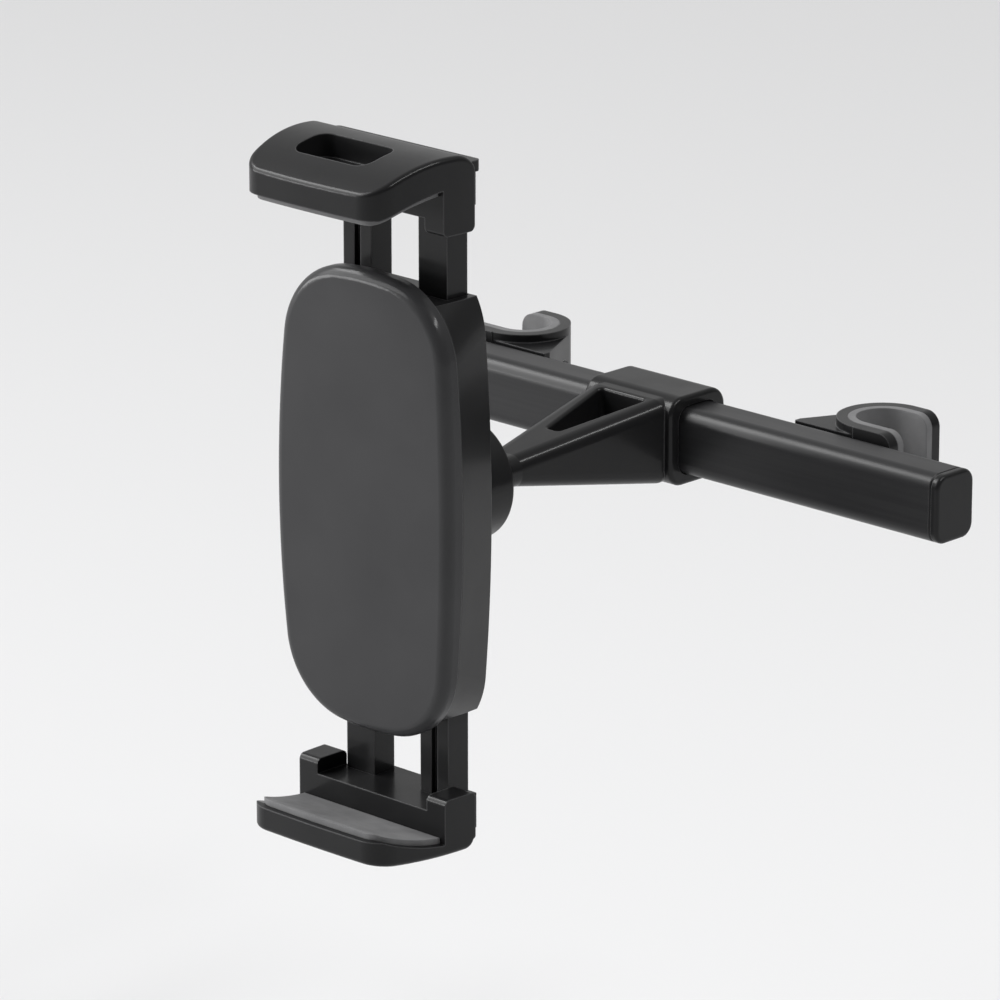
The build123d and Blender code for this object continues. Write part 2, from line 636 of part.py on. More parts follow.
def rack():
    """Toothed strip on the right of the pinion, which moves with the upper jaw."""
    back_x = RAIL_INNER_X - SLIDE_GAP
    root_x = PITCH_RADIUS + DEDENDUM
    low = -JAW_TRAVEL_OUT - 2 * TOOTH_PITCH
    high = JAW_TRAVEL_IN + 2 * TOOTH_PITCH
    strip = Pos((root_x + back_x) / 2, (low + RACK_TOP) / 2) * Rectangle(back_x - root_x, RACK_TOP - low)
    bridge_place = Pos((root_x + RAIL_INNER_X) / 2, (RAIL_INNER_END + RACK_TOP) / 2)
    bridge = bridge_place * Rectangle(RAIL_INNER_X - root_x, RACK_TOP - RAIL_INNER_END)
    tooth = Rot(0, 0, 180) * tooth_outline(DEDENDUM + TOOTH_ROOT_CLEARANCE, ADDENDUM)
    teeth = Sketch()
    first = math.ceil(low / TOOTH_PITCH + 0.5)
    last = math.floor(high / TOOTH_PITCH - 0.5)
    for index in range(first, last):
        teeth += Pos(PITCH_RADIUS, (index + 0.5) * TOOTH_PITCH) * tooth
    return gear_layer(strip + bridge + teeth)


def plain_rail(x):
    """Leg of the upper jaw."""
    x_range = (x - RAIL_WIDTH / 2, x + RAIL_WIDTH / 2)
    leg = block(x_range, (RAIL_FRONT_Y, RAIL_REAR_Y), (RAIL_INNER_END, SOCKET_TOP_Z))
    return leg - rail_screw(x, SCREW_PLAY)


def upper_rail_right():
    return plain_rail(RAIL_OFFSET) + rack()


def upper_rail_left():
    """Grooved leg, with the peg of the jaw's spring."""
    groove_y = (RAIL_FRONT_Y, RAIL_FRONT_Y + RAIL_GROOVE_DEPTH)
    groove_x = (-RAIL_OFFSET - RAIL_GROOVE_WIDTH / 2, -RAIL_OFFSET + RAIL_GROOVE_WIDTH / 2)
    groove = block(groove_x, groove_y, (PEG_Z + PEG_INSET, SOCKET_TOP_Z))
    peg = Pos(-RAIL_OFFSET, 0, PEG_Z) * rod(PEG_RADIUS, RAIL_FRONT_Y, SPRING_FRONT_Y)
    return plain_rail(-RAIL_OFFSET) - groove + peg


def rail_screw(x, play):
    """Screw from behind that fixes a leg in its jaw, or its hole."""
    face_y = RAIL_REAR_Y + SOCKET_SIDE
    shank = rod(SHELL_SCREW_RADIUS + play, face_y, RAIL_REAR_Y - SHELL_SCREW_GRIP + SOCKET_SIDE)
    head = rod(SHELL_SCREW_HEAD + play, face_y, face_y + SHELL_WALL - SOCKET_SIDE)
    return Pos(x, 0, (SOCKET_TOP_Z + SOCKET_BOTTOM_Z) / 2) * (shank + head)


def rail_screws():
    return [rail_screw(x, 0) for x in (-RAIL_OFFSET, RAIL_OFFSET)]


def jaw_spring():
    """Close-wound tension spring with an eye at each end, from the leg's peg to the cover's peg."""
    eye_outer = PEG_RADIUS + SLIDE_GAP + SPRING_EYE_WALL
    half_width = SPRING_EYE_WIDTH / 2
    eye = rod(eye_outer, SPRING_Y - half_width, SPRING_Y + half_width)
    hole = rod(PEG_RADIUS + SLIDE_GAP, SPRING_Y - half_width, SPRING_Y + half_width)
    low = -ANCHOR_Z + eye_outer - SPRING_EYE_WALL / 2
    high = PEG_Z - eye_outer + SPRING_EYE_WALL / 2
    coil = Pos(0, SPRING_Y, (low + high) / 2) * Cylinder(JAW_SPRING_RADIUS, high - low)
    hollow = high - low - 2 * SPRING_EYE_WALL
    coil -= Pos(0, SPRING_Y, (low + high) / 2) * Cylinder(JAW_SPRING_RADIUS - SPRING_WALL, hollow)
    for z in (-ANCHOR_Z, PEG_Z):
        coil = coil - Pos(0, 0, z) * hole + Pos(0, 0, z) * (eye - hole)
    return Pos(-RAIL_OFFSET, 0, 0) * coil


# Upper jaw, drawn about the cradle's axis; the lower one is the same piece turned over


def jaw_plan(inset):
    """Outline of the jaw seen from above, narrower and slightly bowed at the front."""
    half = JAW_WIDTH / 2 - inset
    front_half = JAW_FRONT_WIDTH / 2 - inset
    rear_y = JAW_BACK_Y + JAW_FLANGE_DEPTH
    front_y = JAW_FRONT_Y + JAW_FRONT_BOW + inset
    bow_y = JAW_FRONT_Y + inset
    swell_y = (JAW_BACK_Y + front_y) / 2
    swell_half = half - (half - front_half) * JAW_SIDE_SWELL
    rear = Polyline((-half, JAW_BACK_Y), (-half, rear_y), (half, rear_y), (half, JAW_BACK_Y))
    right = ThreePointArc((half, JAW_BACK_Y), (swell_half, swell_y), (front_half, front_y))
    left = ThreePointArc((-half, JAW_BACK_Y), (-swell_half, swell_y), (-front_half, front_y))
    bow = ThreePointArc((front_half, front_y), (0, bow_y), (-front_half, front_y))
    outline = make_face(rear.edges() + right.edges() + left.edges() + bow.edges())
    corners = outline.vertices().group_by(Axis.Y)[0]
    return fillet(corners, JAW_FRONT_CORNER - inset)


def gripping_curve(rise):
    """Inner face of the jaw from the back wall to the lip, seen from the side."""
    start = (JAW_WALL_Y, JAW_ROOF_Z - rise)
    end = (JAW_FRONT_Y + JAW_LIP_DEPTH, JAW_LIP_Z - rise)
    return Spline(start, end, tangents=((-1, -JAW_GRIP_SLOPE), (-1, -JAW_LIP_SLOPE)))


def jaw_side(top_rise, middle_rise, top_round, shoulder_drop):
    """Outline of the jaw seen from the side, on (Y, Z)."""
    lip_top = JAW_LIP_Z + JAW_LIP_HEIGHT
    top_z = JAW_LIP_Z + top_rise
    round_y = JAW_BACK_Y - top_round
    middle_y = (round_y + JAW_FRONT_Y) / 2
    curve = gripping_curve(0)
    inner = Polyline(curve @ 1, (JAW_FRONT_Y, JAW_LIP_Z), (JAW_FRONT_Y, lip_top))
    top_middle = (middle_y, JAW_LIP_Z + middle_rise)
    top = ThreePointArc((JAW_FRONT_Y, lip_top), top_middle, (round_y, top_z))
    shoulder = TangentArc(top @ 1, (JAW_BACK_Y, top_z - shoulder_drop), tangent=top % 1)
    rear = Polyline(shoulder @ 1, (JAW_BACK_Y, JAW_EAR_Z), (JAW_WALL_Y, JAW_EAR_Z), curve @ 0)
    edges = curve.edges() + inner.edges() + top.edges() + shoulder.edges() + rear.edges()
    outline = make_face(edges)
    return fillet(outline.vertices().group_by(Axis.Y)[0], JAW_EAR_ROUND)


def across_jaw(outline, width):
    """Side outline extruded over the jaw's width."""
    return extrude(Plane.YZ * outline, width / 2, both=True)


def within_plan(shape, inset):
    """Part of a shape that lies inside the jaw's outline seen from above."""
    base = Plane.XY.offset(JAW_EAR_Z - JAW_LIP_HEIGHT)
    return shape & extrude(base * jaw_plan(inset), JAW_REACH_Z)


def soft_rim(jaw):
    """Round the rim between the jaw's outer face and its sides and front."""
    outer = [face for face in jaw.faces() if face.normal_at(face.center()).Z > FACING_OUT]
    edges = [edge for face in outer for edge in face.edges()]
    rim = [edge for edge in edges if edge.geom_type != GeomType.LINE]
    return fillet(rim, JAW_RIM)


def rail_sockets(jaw):
    """Cut the back wall free between its ears, and add the block that holds the legs."""
    ear_x = JAW_WIDTH / 2 - JAW_EAR_WIDTH
    jaw -= block((-ear_x, ear_x), (JAW_WALL_Y, JAW_BACK_Y), (0, SOCKET_BOTTOM_Z))
    socket_x = RAIL_OFFSET + RAIL_WIDTH / 2 + SOCKET_SIDE
    socket_y = (JAW_WALL_Y + SOCKET_SIDE, RAIL_REAR_Y + SOCKET_SIDE)
    jaw += block((-socket_x, socket_x), socket_y, (SOCKET_BOTTOM_Z, SOCKET_TOP_Z + SOCKET_SIDE))
    for x in (-RAIL_OFFSET, RAIL_OFFSET):
        x_range = (x - RAIL_WIDTH / 2, x + RAIL_WIDTH / 2)
        jaw -= block(x_range, (RAIL_FRONT_Y, RAIL_REAR_Y), (JAW_EAR_Z, SOCKET_TOP_Z))
        jaw -= rail_screw(x, SCREW_PLAY)
    return jaw


def upper_jaw():
    """Jaw with a finger pocket in its outer face and a flange along its back edge."""
    side = jaw_side(UPPER_TOP_RISE, UPPER_MIDDLE_RISE, UPPER_TOP_ROUND, JAW_FLANGE_DROP)
    half = JAW_WIDTH / 2 - JAW_FLANGE_INSET
    flange_y = (JAW_BACK_Y - JAW_FLANGE_ROUND, JAW_BACK_Y + JAW_FLANGE_DEPTH)
    flange = block((-half, half), flange_y, (JAW_FLANGE_Z - JAW_FLANGE_THICK, JAW_FLANGE_Z))
    flange = fillet(flange.edges().filter_by(Axis.Z).group_by(Axis.Y)[-1], JAW_FLANGE_ROUND)
    jaw = soft_rim(within_plan(across_jaw(side, JAW_WIDTH), 0)) + flange
    pocket_outline = RectangleRounded(POCKET_WIDTH, POCKET_LENGTH, POCKET_CORNER)
    pocket_outline = Pos(POCKET_SHIFT, JAW_BACK_Y - POCKET_SETBACK) * pocket_outline
    floor_z = JAW_LIP_Z + UPPER_MIDDLE_RISE - POCKET_DEPTH
    pocket = extrude(Plane.XY.offset(floor_z) * pocket_outline, UPPER_TOP_RISE)
    return rail_sockets(jaw) - pocket


def lower_jaw():
    """Flatter jaw, drawn as an upper one."""
    side = jaw_side(LOWER_TOP_RISE, LOWER_MIDDLE_RISE, LOWER_TOP_ROUND, LOWER_SHOULDER_DROP)
    return rail_sockets(soft_rim(within_plan(across_jaw(side, JAW_WIDTH), 0)))


def gripping_face(rise):
    """Gripping curve carried on along the lip to the jaw's front."""
    curve = gripping_curve(rise)
    return curve.edges() + Line(curve @ 1, (JAW_FRONT_Y, JAW_LIP_Z - rise)).edges()


def jaw_pad():
    """Thin pad on the gripping face and the lip, set back from the jaw's outline."""
    back = Line((JAW_WALL_Y, JAW_ROOF_Z), (JAW_WALL_Y, JAW_ROOF_Z - PAD_THICK))
    front = Line((JAW_FRONT_Y, JAW_LIP_Z), (JAW_FRONT_Y, JAW_LIP_Z - PAD_THICK))
    edges = gripping_face(0) + gripping_face(PAD_THICK) + back.edges() + front.edges()
    return within_plan(across_jaw(make_face(edges), JAW_WIDTH), PAD_INSET)


def left_and_right(name, shape):
    """A right-hand piece drawn about its post's axis, and its mirror image on the left."""
    right = Pos(POST_SPACING / 2, 0, 0) * shape
    return {name + "_right": right, name + "_left": mirror(right, Plane.YZ)}


def upper_and_lower(name, shapes, lower_name=None):
    """A piece of the upper jaw, and the same piece turned over for the lower jaw."""
    upper = [ON_CRADLE * shape for shape in shapes]
    lower = [ON_CRADLE * TURNED_OVER * shape for shape in shapes]
    return {"upper_" + name: upper, "lower_" + (lower_name or name): lower}


def all_pieces():
    pieces = {
        "bar_tube": bar_tube(),
        "end_cap_right": end_cap_right(),
        "end_cap_left": mirror(end_cap_right(), Plane.YZ),
        "spring_stop": spring_stop(),
        "stop_screw": stop_screw_form(0),
        "slider_arm": slider_arm(),
        "ball_seat_rear": ball_seat_rear(),
        "ball_seat_front": ball_seat_front(),
        "lock_nut": lock_nut(),
        "back_shell": back_shell(),
        "front_cover": front_cover(),
        "shell_screws": shell_screws(),
        "centring_pinion": centring_pinion(),
    }
    pieces |= left_and_right("hook", post_hook())
    pieces |= left_and_right("hook_liner", hook_liner())
    pieces |= left_and_right("hook_shoe", hook_shoe())
    pieces |= left_and_right("hook_screw", hook_screw_form(0))
    pieces |= left_and_right("hook_spring", hook_spring())
    pieces["upper_jaw"] = ON_CRADLE * upper_jaw()
    pieces["lower_jaw"] = ON_CRADLE * TURNED_OVER * lower_jaw()
    pieces |= upper_and_lower("jaw_pad", [jaw_pad()])
    pieces |= upper_and_lower("rail_left", [upper_rail_left()], "rail_right")
    pieces |= upper_and_lower("rail_right", [upper_rail_right()], "rail_left")
    pieces |= upper_and_lower("rail_screws", rail_screws())
    pieces |= upper_and_lower("spring", [jaw_spring()])
    return pieces


os.makedirs("parts", exist_ok=True)
for node, shape in all_pieces().items():
    shapes = shape if isinstance(shape, list) else [shape]
    solids = [solid for item in shapes for solid in (TO_RIGHT_POST * item).solids()]
    whole = solids[0] if len(solids) == 1 else Compound(children=solids)
    export_step(whole, f"parts/{node}.step")
    print(node, len(solids), round(sum(solid.volume for solid in solids)))
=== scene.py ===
# %% [markdown]
# Headrest tablet mount, dressed for a product picture.
#
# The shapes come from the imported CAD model, which is loaded here as a fixed frame. Each step below
# gives one finish, or models one small piece that the CAD model holds only as a plain stand-in.
# All lengths are in metres. +X runs along the crossbar to the right, +Y from the crossbar back to
# the hooks, and +Z up.

import json
import math

import bpy
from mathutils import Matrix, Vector


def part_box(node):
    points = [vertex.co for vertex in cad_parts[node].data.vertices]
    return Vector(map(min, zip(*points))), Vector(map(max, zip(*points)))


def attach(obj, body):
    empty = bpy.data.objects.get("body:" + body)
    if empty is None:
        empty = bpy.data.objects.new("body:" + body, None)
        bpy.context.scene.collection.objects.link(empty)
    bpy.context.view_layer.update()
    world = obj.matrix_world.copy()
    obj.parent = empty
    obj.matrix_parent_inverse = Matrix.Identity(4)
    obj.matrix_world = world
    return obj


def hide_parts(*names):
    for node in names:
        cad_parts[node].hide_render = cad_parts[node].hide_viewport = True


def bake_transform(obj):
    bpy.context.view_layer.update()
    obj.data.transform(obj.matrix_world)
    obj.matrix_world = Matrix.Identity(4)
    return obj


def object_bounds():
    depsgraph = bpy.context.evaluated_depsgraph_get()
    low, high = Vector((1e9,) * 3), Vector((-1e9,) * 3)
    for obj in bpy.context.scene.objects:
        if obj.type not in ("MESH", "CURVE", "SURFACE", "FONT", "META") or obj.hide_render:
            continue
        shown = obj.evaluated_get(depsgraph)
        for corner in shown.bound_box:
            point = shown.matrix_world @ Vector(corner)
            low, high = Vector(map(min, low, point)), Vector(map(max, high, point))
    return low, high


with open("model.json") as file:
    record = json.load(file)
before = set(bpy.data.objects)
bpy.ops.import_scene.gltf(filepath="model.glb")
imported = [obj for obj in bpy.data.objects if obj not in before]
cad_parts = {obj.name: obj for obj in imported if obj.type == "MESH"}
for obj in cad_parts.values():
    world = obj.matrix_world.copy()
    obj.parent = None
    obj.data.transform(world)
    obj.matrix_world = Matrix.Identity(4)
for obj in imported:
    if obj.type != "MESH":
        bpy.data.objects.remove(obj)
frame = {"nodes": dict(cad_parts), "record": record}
cad_low, cad_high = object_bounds()
scene = bpy.context.scene

# %% [markdown]
# The camera comes first, because every later choice is judged through it. The picture was taken
# from the front right, a little above the mount, with a long lens: the bar's parallel edges stay
# almost parallel. A long focal length far away gives the same calm perspective.

# %% Camera
CAMERA_PLACE = Vector((1.0549, -1.2416, 0.4961))
CAMERA_AIM = Vector((-0.0964, -0.0447, -0.0227))
CAMERA_LENS = 234
SENSOR_WIDTH = 36
SIGHT_LIMIT = 50


def facing(direction):
    """Turn that makes a camera or a lamp look along a direction."""
    return direction.to_track_quat("-Z", "Y").to_euler()


sight = CAMERA_AIM - CAMERA_PLACE
bpy.ops.object.select_all(action="DESELECT")
bpy.ops.object.camera_add(location=CAMERA_PLACE, rotation=facing(sight))
camera = bpy.context.object
camera.name = "product_camera"
camera.data.lens = CAMERA_LENS
camera.data.sensor_width = SENSOR_WIDTH
camera.data.clip_end = SIGHT_LIMIT
scene.camera = camera
scene.view_settings.view_transform = "Standard"
print("camera", round(sight.length, 3), "m from its aim")

# %% [markdown]
# The stage is a wide pale floor below the mount. In use the mount hangs clear of any floor, so this
# one lies far enough down for the shadow to stay soft.

# %% Pale floor
FLOOR_DROP = 0.12
FLOOR_SPAN = 30
FLOOR_COLOUR = (0.76, 0.76, 0.765, 1)

floor_height = cad_low.z - FLOOR_DROP
bpy.ops.object.select_all(action="DESELECT")
bpy.ops.mesh.primitive_plane_add(size=FLOOR_SPAN, location=(0, 0, floor_height))
floor = bpy.context.object
floor.name = "studio_floor"
floor_finish = bpy.data.materials.new("studio_floor_white")
floor_finish.use_nodes = True
floor_shader = floor_finish.node_tree.nodes["Principled BSDF"]
floor_shader.inputs["Base Color"].default_value = FLOOR_COLOUR
floor_shader.inputs["Roughness"].default_value = 0.9
floor_shader.inputs["Specular IOR Level"].default_value = 0.1
floor.data.materials.append(floor_finish)

# %% [markdown]
# Black plastic shows its shape by what it mirrors. A broad, soft key comes from the upper left in
# front, from so far away that it lights the floor evenly. Two strip lamps hang high on the left and
# the right, and draw the bright lines on the rounded upper edges. A low, wide panel far off in front
# on the left gives the front faces a sheen that the right-hand faces lack.

# %% Studio lamps
MOUNT_MIDDLE = Vector((-0.06, -0.07, 0.0))
KEY_FROM = Vector((-0.70, -0.55, 0.62))
KEY_STRENGTH = 2.1
KEY_SPREAD = math.radians(50)


def soft_panel(name, place, width, height, watts):
    """A rectangular lamp that faces the middle of the mount."""
    bpy.ops.object.select_all(action="DESELECT")
    turn = facing(MOUNT_MIDDLE - Vector(place))
    bpy.ops.object.light_add(type="AREA", location=place, rotation=turn)
    lamp = bpy.context.object
    lamp.name = name
    lamp.data.shape = "RECTANGLE"
    lamp.data.size = width
    lamp.data.size_y = height
    lamp.data.energy = watts


soft_panel("front_left_panel", place=(-4.60, -3.40, 0.32), width=3.0, height=1.0, watts=110)
soft_panel("left_strip", place=(-1.05, -0.55, 1.05), width=1.0, height=0.30, watts=7)
soft_panel("right_strip", place=(0.66, 0.12, 0.92), width=0.8, height=0.12, watts=5)

bpy.ops.object.select_all(action="DESELECT")
bpy.ops.object.light_add(type="SUN", rotation=facing(-KEY_FROM))
key_light = bpy.context.object
key_light.name = "broad_key"
key_light.data.energy = KEY_STRENGTH
key_light.data.angle = KEY_SPREAD

# %% [markdown]
# Between the lamps, the plastic mirrors the world. One even grey would give all faces the same fill,
# so the world is a soft sky. It is brightest behind on the left, which is the side that the top faces
# mirror towards the camera, and fades to a low fill on the other side.

# %% Soft sky
SKY_FROM = (-0.75, 0.45, 0.48)
DARK_FROM, BRIGHT_FROM = -0.3, 0.9
DARK_STRENGTH, BRIGHT_STRENGTH = 0.12, 0.65

world = bpy.data.worlds.new("studio_world")
world.use_nodes = True
scene.world = world
sky = world.node_tree
background = sky.nodes["Background"]
background.inputs["Color"].default_value = (1, 1, 1, 1)
sky_place = sky.nodes.new("ShaderNodeTexCoord")
sky_facing = sky.nodes.new("ShaderNodeVectorMath")
sky_facing.operation = "DOT_PRODUCT"
sky_facing.inputs[1].default_value = SKY_FROM
sky_fade = sky.nodes.new("ShaderNodeMapRange")
sky_fade.inputs["From Min"].default_value = DARK_FROM
sky_fade.inputs["From Max"].default_value = BRIGHT_FROM
sky_fade.inputs["To Min"].default_value = DARK_STRENGTH
sky_fade.inputs["To Max"].default_value = BRIGHT_STRENGTH
sky.links.new(sky_place.outputs["Generated"], sky_facing.inputs[0])
sky.links.new(sky_facing.outputs["Value"], sky_fade.inputs["Value"])
sky.links.new(sky_fade.outputs["Result"], background.inputs["Strength"])
print("sky strength from", DARK_STRENGTH, "to", BRIGHT_STRENGTH)

# %% [markdown]
# A moulded part is never perfectly even: large faces vary a little in tone and gloss. A painted image
# could show that, but noise needs no image and fits a piece of any size. It is laid on object
# coordinates, so it moves with its piece, and most of its values lie between 0.3 and 0.7, which is why
# they are spread before use.

# %% Helpers for tone and gloss
NOISE_LOW, NOISE_HIGH = 0.3, 0.7
# Sockets of a mix node that is set to colours
MIX_SHARE, MIX_FIRST, MIX_SECOND, MIX_COLOUR = 0, 6, 7, 2


def new_finish(name):
    """A node material, its tree and its shader."""
    finish = bpy.data.materials.new(name)
    finish.use_nodes = True
    tree = finish.node_tree
    return finish, tree, tree.nodes["Principled BSDF"]


def noise(tree, scale, detail, stretch=(1, 1, 1)):
    """Noise on object coordinates, with a stretch along the axes."""
    place = tree.nodes.new("ShaderNodeTexCoord")
    mapping = tree.nodes.new("ShaderNodeMapping")
    mapping.inputs["Scale"].default_value = stretch
    texture = tree.nodes.new("ShaderNodeTexNoise")
    texture.inputs["Scale"].default_value = scale
    texture.inputs["Detail"].default_value = detail
    tree.links.new(place.outputs["Object"], mapping.inputs["Vector"])
    tree.links.new(mapping.outputs["Vector"], texture.inputs["Vector"])
    return texture.outputs["Fac"]


def between(tree, value, low, high):
    """A noise value spread over a range."""
    spread = tree.nodes.new("ShaderNodeMapRange")
    spread.inputs["From Min"].default_value = NOISE_LOW
    spread.inputs["From Max"].default_value = NOISE_HIGH
    spread.inputs["To Min"].default_value = low
    spread.inputs["To Max"].default_value = high
    tree.links.new(value, spread.inputs["Value"])
    return spread.outputs["Result"]


def mixed(tree, share, first, second):
    """Colour between two, by a share."""
    mix = tree.nodes.new("ShaderNodeMix")
    mix.data_type = "RGBA"
    mix.inputs[MIX_FIRST].default_value = (*first, 1)
    mix.inputs[MIX_SECOND].default_value = (*second, 1)
    tree.links.new(share, mix.inputs[MIX_SHARE])
    return mix.outputs[MIX_COLOUR]


print("noise values from", NOISE_LOW, "to", NOISE_HIGH, "are spread")

# %% [markdown]
# A tool leaves a fine grain and small round corners, and handling rubs the corners pale. That pale
# tone also paints thin highlight lines on the edges, so it is partly painted highlight. The grain is
# bump. A bevel node rounds each corner in the light, with no new faces. Its normal departs from the
# true one only near an edge, so the same node also tells where the pale tone belongs.

# %% Helpers for edges and grain
EDGE_SAMPLES = 6
EDGE_STARTS, EDGE_ENDS = 0.995, 0.85


def edge_normal(tree, radius):
    """Normal that rounds each edge in the light."""
    bevel = tree.nodes.new("ShaderNodeBevel")
    bevel.samples = EDGE_SAMPLES
    bevel.inputs["Radius"].default_value = radius
    return bevel.outputs["Normal"]


def worn_edges_and_painted_highlight(tree, normal, tone, worn_and_highlight):
    """Tone that turns pale where the rounded normal departs: partly wear, partly painted highlight."""
    geometry = tree.nodes.new("ShaderNodeNewGeometry")
    compare = tree.nodes.new("ShaderNodeVectorMath")
    compare.operation = "DOT_PRODUCT"
    tree.links.new(normal, compare.inputs[0])
    tree.links.new(geometry.outputs["Normal"], compare.inputs[1])
    mask = tree.nodes.new("ShaderNodeMapRange")
    mask.inputs["From Min"].default_value = EDGE_STARTS
    mask.inputs["From Max"].default_value = EDGE_ENDS
    tree.links.new(compare.outputs["Value"], mask.inputs["Value"])
    mix = tree.nodes.new("ShaderNodeMix")
    mix.data_type = "RGBA"
    mix.inputs[MIX_SECOND].default_value = (*worn_and_highlight, 1)
    tree.links.new(mask.outputs["Result"], mix.inputs[MIX_SHARE])
    tree.links.new(tone, mix.inputs[MIX_FIRST])
    return mix.outputs[MIX_COLOUR]


def grain_bump(tree, height, strength, depth, normal):
    """Bump from a height, over a given normal."""
    bump = tree.nodes.new("ShaderNodeBump")
    bump.inputs["Strength"].default_value = strength
    bump.inputs["Distance"].default_value = depth
    tree.links.new(height, bump.inputs["Height"])
    tree.links.new(normal, bump.inputs["Normal"])
    return bump.outputs["Normal"]


def wire_up(tree, shader, colour, gloss, normal):
    """Join a finish's colour, gloss and normal to its shader."""
    tree.links.new(colour, shader.inputs["Base Color"])
    tree.links.new(gloss, shader.inputs["Roughness"])
    tree.links.new(normal, shader.inputs["Normal"])


print("edges take", EDGE_SAMPLES, "samples")

# %% [markdown]
# The hooks, end caps, arm, nut, shell, jaws and rails are one satin black moulding compound. A fine
# spark grain of about 0.4 mm breaks up the highlights. The edges are painted greyer: partly wear where
# hands rub them, partly painted highlight lines.
# A weak coat over it gives a second, tighter gloss, as the skin of a moulding does.

# %% Satin black plastic
def moulded_plastic(name, dark, light, worn_and_highlight, rough, grain_scale, grain_depth, edge):
    """Moulded plastic with spark grain, uneven gloss and pale edges: wear and painted highlight."""
    finish, tree, shader = new_finish(name)
    normal = edge_normal(tree, edge)
    cloud = between(tree, noise(tree, scale=45, detail=3), low=0, high=1)
    # Edges turn pale: partly rubbed wear, partly painted highlight lines.
    colour = worn_edges_and_painted_highlight(tree, normal, mixed(tree, cloud, dark, light), worn_and_highlight)
    gloss = between(tree, noise(tree, scale=70, detail=4), low=rough - 0.04, high=rough + 0.05)
    grain = noise(tree, scale=grain_scale, detail=2)
    skin = grain_bump(tree, grain, strength=0.35, depth=grain_depth, normal=normal)
    wire_up(tree, shader, colour, gloss, skin)
    shader.inputs["Specular IOR Level"].default_value = 0.10
    shader.inputs["Coat Weight"].default_value = 0.25
    shader.inputs["Coat Roughness"].default_value = 0.14
    return finish


black_plastic = moulded_plastic(
    "satin_black_moulding",
    dark=(0.009, 0.009, 0.0095),
    light=(0.012, 0.012, 0.0125),
    # Pale edge tone: partly wear, partly painted highlight.
    worn_and_highlight=(0.085, 0.085, 0.087),
    rough=0.36,
    grain_scale=2600,
    grain_depth=0.00003,
    edge=0.0006,
)
print("made", black_plastic.name)

# %% [markdown]
# The front cover reads a little lighter and greyer than the rest, with an even, silky face. It gets
# the same recipe with a finer, shallower grain.

# %% Graphite cover
graphite_plastic = moulded_plastic(
    "graphite_cover",
    dark=(0.036, 0.036, 0.0375),
    light=(0.042, 0.042, 0.0435),
    # Pale edge tone: partly wear, partly painted highlight.
    worn_and_highlight=(0.085, 0.085, 0.087),
    rough=0.38,
    grain_scale=3600,
    grain_depth=0.00002,
    edge=0.0004,
)
print("made", graphite_plastic.name)

# %% [markdown]
# The crossbar is an extruded tube with a black coating. Extrusion leaves very faint lines along its
# length, so its noise is stretched along X, and the coat gives a second, slightly tighter gloss.

# %% Coated bar
def coated_metal(name, dark, light, worn_and_highlight):
    """Black coated extrusion with faint draw lines."""
    finish, tree, shader = new_finish(name)
    normal = edge_normal(tree, radius=0.0004)
    lines = noise(tree, scale=900, detail=2, stretch=(0.02, 1, 1))
    tone = mixed(tree, between(tree, lines, low=0, high=1), dark, light)
    # Edges turn pale: partly rubbed coating, partly painted highlight lines.
    colour = worn_edges_and_painted_highlight(tree, normal, tone, worn_and_highlight)
    patches = noise(tree, scale=80, detail=3, stretch=(0.3, 1, 1))
    gloss = between(tree, patches, low=0.33, high=0.42)
    skin = grain_bump(tree, lines, strength=0.2, depth=0.00002, normal=normal)
    wire_up(tree, shader, colour, gloss, skin)
    shader.inputs["Specular IOR Level"].default_value = 0.25
    shader.inputs["Coat Weight"].default_value = 0.1
    shader.inputs["Coat Roughness"].default_value = 0.3
    return finish


bar_black = coated_metal(
    "coated_bar_black",
    dark=(0.012, 0.012, 0.013),
    light=(0.017, 0.017, 0.018),
    # Pale edge tone: partly wear, partly painted highlight.
    worn_and_highlight=(0.09, 0.09, 0.092),
)
print("made", bar_black.name)

# %% [markdown]
# The hook linings and jaw pads are soft grey rubber: matte, with a pebbled skin and pale patches of
# dust, which is what makes rubber look dry next to plastic. The pebbles are the cells of a Voronoi
# texture, because noise would look like grain again.

# %% Soft grey rubber
def pebbled_rubber(name, dark, dusty):
    """Matte rubber with a pebbled skin."""
    finish, tree, shader = new_finish(name)
    normal = edge_normal(tree, radius=0.0004)
    place = tree.nodes.new("ShaderNodeTexCoord")
    pebbles = tree.nodes.new("ShaderNodeTexVoronoi")
    pebbles.inputs["Scale"].default_value = 1700
    tree.links.new(place.outputs["Object"], pebbles.inputs["Vector"])
    dust = between(tree, noise(tree, scale=160, detail=5), low=0, high=0.6)
    colour = mixed(tree, dust, dark, dusty)
    gloss = between(tree, noise(tree, scale=220, detail=3), low=0.6, high=0.78)
    height = pebbles.outputs["Distance"]
    skin = grain_bump(tree, height, strength=0.3, depth=0.00005, normal=normal)
    wire_up(tree, shader, colour, gloss, skin)
    shader.inputs["Specular IOR Level"].default_value = 0.35
    return finish


grey_rubber = pebbled_rubber(
    "soft_grey_rubber", dark=(0.15, 0.15, 0.153), dusty=(0.22, 0.22, 0.222)
)
print("made", grey_rubber.name)

# %% [markdown]
# The ball's seats and the small gear are an unpigmented slippery plastic, ivory white. They take the
# recipe of the black plastic, and light that enters a little way makes them look waxy.

